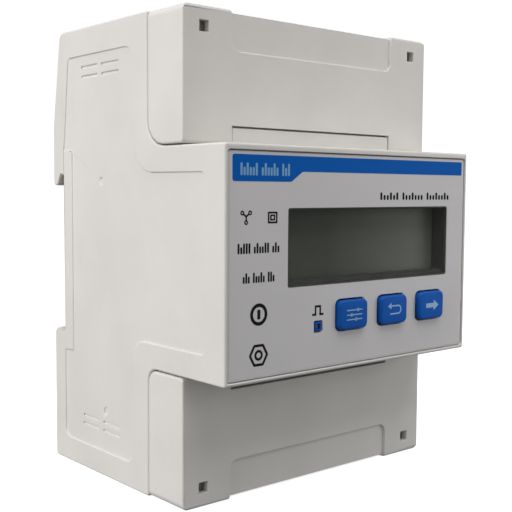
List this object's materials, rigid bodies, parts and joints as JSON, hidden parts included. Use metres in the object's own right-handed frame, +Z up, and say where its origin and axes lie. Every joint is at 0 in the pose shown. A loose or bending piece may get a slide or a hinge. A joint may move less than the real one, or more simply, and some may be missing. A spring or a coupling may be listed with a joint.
{
  "type": "smart electric meter",
  "caption": "Rail-mounted smart electricity meter with a dark display, blue keys, clip-on terminal covers, clamp terminals and a sprung rail latch.",
  "frame": {"origin": "middle of the footprint, on the surface the meter stands on", "axes": "+Z up, front with the display towards -Y, rail channel towards +Y, +X to the right as seen from the front"},
  "size_m": [0.072, 0.0666, 0.1],
  "materials": {
    "housing_plastic": "fine moulded texture, warm white",
    "latch_plastic": "moulded, warm white",
    "label_print": "satin printed film, pale grey with a blue band",
    "window_plastic": "clear, slightly glossy",
    "display_glass": "dark olive grey, unlit",
    "white_plastic": "moulded",
    "key_plastic": "satin blue",
    "amber_plastic": "unlit light guide",
    "circuit_board": "solder mask",
    "black_plastic": "moulded",
    "transformer_tape": "insulating tape",
    "capacitor_can": "drawn can",
    "terminal_plastic": "glass-filled, light grey",
    "zinc_steel": "zinc plated",
    "plated_brass": "plated"
  },
  "bodies": {
    "housing": {"main_housing": "housing_plastic", "rear_cover": "housing_plastic", "face_plate": "label_print", "display_frame": "black_plastic", "display_window": "window_plastic", "display_glass": "display_glass", "backlight": "white_plastic", "display_board": "circuit_board", "main_board": "circuit_board", "board_header": "black_plastic", "metering_chip": "black_plastic", "transformer": "transformer_tape", "capacitor_left": "capacitor_can", "capacitor_right": "capacitor_can", "pulse_light_bezel": "key_plastic", "pulse_light_guide": "amber_plastic", "pulse_lamp": "white_plastic", "switch_set": "black_plastic", "switch_back": "black_plastic", "switch_next": "black_plastic", "upper_terminal_block": "terminal_plastic", "lower_terminal_block": "terminal_plastic", "case_screw_1": "zinc_steel", "case_screw_2": "zinc_steel", "case_screw_3": "zinc_steel", "case_screw_4": "zinc_steel", "latch_spring": "zinc_steel"},
    "key_set": {"key_set": "key_plastic", "plunger_set": "white_plastic"},
    "key_back": {"key_back": "key_plastic", "plunger_back": "white_plastic"},
    "key_next": {"key_next": "key_plastic", "plunger_next": "white_plastic"},
    "top_cover": {"top_cover": "housing_plastic"},
    "bottom_cover": {"bottom_cover": "housing_plastic"},
    "rail_latch": {"rail_latch": "latch_plastic"},
    "upper_screw_1": {"upper_screw_1": "zinc_steel"},
    "upper_cage_1": {"upper_cage_1": "plated_brass"},
    "upper_screw_2": {"upper_screw_2": "zinc_steel"},
    "upper_cage_2": {"upper_cage_2": "plated_brass"},
    "upper_screw_3": {"upper_screw_3": "zinc_steel"},
    "upper_cage_3": {"upper_cage_3": "plated_brass"},
    "upper_screw_4": {"upper_screw_4": "zinc_steel"},
    "upper_cage_4": {"upper_cage_4": "plated_brass"},
    "upper_screw_5": {"upper_screw_5": "zinc_steel"},
    "upper_cage_5": {"upper_cage_5": "plated_brass"},
    "upper_screw_6": {"upper_screw_6": "zinc_steel"},
    "upper_cage_6": {"upper_cage_6": "plated_brass"},
    "upper_screw_7": {"upper_screw_7": "zinc_steel"},
    "upper_cage_7": {"upper_cage_7": "plated_brass"},
    "upper_screw_8": {"upper_screw_8": "zinc_steel"},
    "upper_cage_8": {"upper_cage_8": "plated_brass"},
    "lower_screw_1": {"lower_screw_1": "zinc_steel"},
    "lower_cage_1": {"lower_cage_1": "plated_brass"},
    "lower_screw_2": {"lower_screw_2": "zinc_steel"},
    "lower_cage_2": {"lower_cage_2": "plated_brass"},
    "lower_screw_3": {"lower_screw_3": "zinc_steel"},
    "lower_cage_3": {"lower_cage_3": "plated_brass"},
    "lower_screw_4": {"lower_screw_4": "zinc_steel"},
    "lower_cage_4": {"lower_cage_4": "plated_brass"}
  },
  "joints": [
    {"name": "key_set_press", "type": "slide", "parent": "housing", "child": "key_set", "axis": [0, 1, 0], "range_m": [0, 0.0006], "stiffness_N_per_m": 1500, "springref_m": -0.0004},
    {"name": "key_back_press", "type": "slide", "parent": "housing", "child": "key_back", "axis": [0, 1, 0], "range_m": [0, 0.0006], "stiffness_N_per_m": 1500, "springref_m": -0.0004},
    {"name": "key_next_press", "type": "slide", "parent": "housing", "child": "key_next", "axis": [0, 1, 0], "range_m": [0, 0.0006], "stiffness_N_per_m": 1500, "springref_m": -0.0004},
    {"name": "top_cover_pull", "type": "slide", "parent": "housing", "child": "top_cover", "axis": [0, -1, 0], "range_m": [0, 0.025]},
    {"name": "bottom_cover_pull", "type": "slide", "parent": "housing", "child": "bottom_cover", "axis": [0, -1, 0], "range_m": [0, 0.025]},
    {"name": "rail_latch_pull", "type": "slide", "parent": "housing", "child": "rail_latch", "axis": [0, 0, -1], "range_m": [0, 0.0035], "stiffness_N_per_m": 1500, "springref_m": -0.001, "deforming": ["latch_spring"]},
    {"name": "upper_screw_1_turn", "type": "hinge", "parent": "housing", "child": "upper_screw_1", "pos_m": [-0.02667, -0.0159, 0.088], "axis": [0, 1, 0], "range_deg": [0, 2160]},
    {"name": "upper_cage_1_rise", "type": "slide", "parent": "housing", "child": "upper_cage_1", "axis": [0, -1, 0], "range_m": [0, 0.003]},
    {"name": "upper_screw_2_turn", "type": "hinge", "parent": "housing", "child": "upper_screw_2", "pos_m": [-0.01905, -0.0159, 0.088], "axis": [0, 1, 0], "range_deg": [0, 2160]},
    {"name": "upper_cage_2_rise", "type": "slide", "parent": "housing", "child": "upper_cage_2", "axis": [0, -1, 0], "range_m": [0, 0.003]},
    {"name": "upper_screw_3_turn", "type": "hinge", "parent": "housing", "child": "upper_screw_3", "pos_m": [-0.01143, -0.0159, 0.088], "axis": [0, 1, 0], "range_deg": [0, 2160]},
    {"name": "upper_cage_3_rise", "type": "slide", "parent": "housing", "child": "upper_cage_3", "axis": [0, -1, 0], "range_m": [0, 0.003]},
    {"name": "upper_screw_4_turn", "type": "hinge", "parent": "housing", "child": "upper_screw_4", "pos_m": [-0.00381, -0.0159, 0.088], "axis": [0, 1, 0], "range_deg": [0, 2160]},
    {"name": "upper_cage_4_rise", "type": "slide", "parent": "housing", "child": "upper_cage_4", "axis": [0, -1, 0], "range_m": [0, 0.003]},
    {"name": "upper_screw_5_turn", "type": "hinge", "parent": "housing", "child": "upper_screw_5", "pos_m": [0.00381, -0.0159, 0.088], "axis": [0, 1, 0], "range_deg": [0, 2160]},
    {"name": "upper_cage_5_rise", "type": "slide", "parent": "housing", "child": "upper_cage_5", "axis": [0, -1, 0], "range_m": [0, 0.003]},
    {"name": "upper_screw_6_turn", "type": "hinge", "parent": "housing", "child": "upper_screw_6", "pos_m": [0.01143, -0.0159, 0.088], "axis": [0, 1, 0], "range_deg": [0, 2160]},
    {"name": "upper_cage_6_rise", "type": "slide", "parent": "housing", "child": "upper_cage_6", "axis": [0, -1, 0], "range_m": [0, 0.003]},
    {"name": "upper_screw_7_turn", "type": "hinge", "parent": "housing", "child": "upper_screw_7", "pos_m": [0.01905, -0.0159, 0.088], "axis": [0, 1, 0], "range_deg": [0, 2160]},
    {"name": "upper_cage_7_rise", "type": "slide", "parent": "housing", "child": "upper_cage_7", "axis": [0, -1, 0], "range_m": [0, 0.003]},
    {"name": "upper_screw_8_turn", "type": "hinge", "parent": "housing", "child": "upper_screw_8", "pos_m": [0.02667, -0.0159, 0.088], "axis": [0, 1, 0], "range_deg": [0, 2160]},
    {"name": "upper_cage_8_rise", "type": "slide", "parent": "housing", "child": "upper_cage_8", "axis": [0, -1, 0], "range_m": [0, 0.003]},
    {"name": "lower_screw_1_turn", "type": "hinge", "parent": "housing", "child": "lower_screw_1", "pos_m": [-0.024, -0.0159, 0.012], "axis": [0, 1, 0], "range_deg": [0, 2160]},
    {"name": "lower_cage_1_rise", "type": "slide", "parent": "housing", "child": "lower_cage_1", "axis": [0, -1, 0], "range_m": [0, 0.003]},
    {"name": "lower_screw_2_turn", "type": "hinge", "parent": "housing", "child": "lower_screw_2", "pos_m": [-0.008, -0.0159, 0.012], "axis": [0, 1, 0], "range_deg": [0, 2160]},
    {"name": "lower_cage_2_rise", "type": "slide", "parent": "housing", "child": "lower_cage_2", "axis": [0, -1, 0], "range_m": [0, 0.003]},
    {"name": "lower_screw_3_turn", "type": "hinge", "parent": "housing", "child": "lower_screw_3", "pos_m": [0.008, -0.0159, 0.012], "axis": [0, 1, 0], "range_deg": [0, 2160]},
    {"name": "lower_cage_3_rise", "type": "slide", "parent": "housing", "child": "lower_cage_3", "axis": [0, -1, 0], "range_m": [0, 0.003]},
    {"name": "lower_screw_4_turn", "type": "hinge", "parent": "housing", "child": "lower_screw_4", "pos_m": [0.024, -0.0159, 0.012], "axis": [0, 1, 0], "range_deg": [0, 2160]},
    {"name": "lower_cage_4_rise", "type": "slide", "parent": "housing", "child": "lower_cage_4", "axis": [0, -1, 0], "range_m": [0, 0.003]}
  ],
  "couplings": [
    {"joint": "upper_screw_1_turn", "follows": "upper_cage_1_rise", "rad_per_m": 12566},
    {"joint": "upper_screw_2_turn", "follows": "upper_cage_2_rise", "rad_per_m": 12566},
    {"joint": "upper_screw_3_turn", "follows": "upper_cage_3_rise", "rad_per_m": 12566},
    {"joint": "upper_screw_4_turn", "follows": "upper_cage_4_rise", "rad_per_m": 12566},
    {"joint": "upper_screw_5_turn", "follows": "upper_cage_5_rise", "rad_per_m": 12566},
    {"joint": "upper_screw_6_turn", "follows": "upper_cage_6_rise", "rad_per_m": 12566},
    {"joint": "upper_screw_7_turn", "follows": "upper_cage_7_rise", "rad_per_m": 12566},
    {"joint": "upper_screw_8_turn", "follows": "upper_cage_8_rise", "rad_per_m": 12566},
    {"joint": "lower_screw_1_turn", "follows": "lower_cage_1_rise", "rad_per_m": 12566},
    {"joint": "lower_screw_2_turn", "follows": "lower_cage_2_rise", "rad_per_m": 12566},
    {"joint": "lower_screw_3_turn", "follows": "lower_cage_3_rise", "rad_per_m": 12566},
    {"joint": "lower_screw_4_turn", "follows": "lower_cage_4_rise", "rad_per_m": 12566}
  ]
}
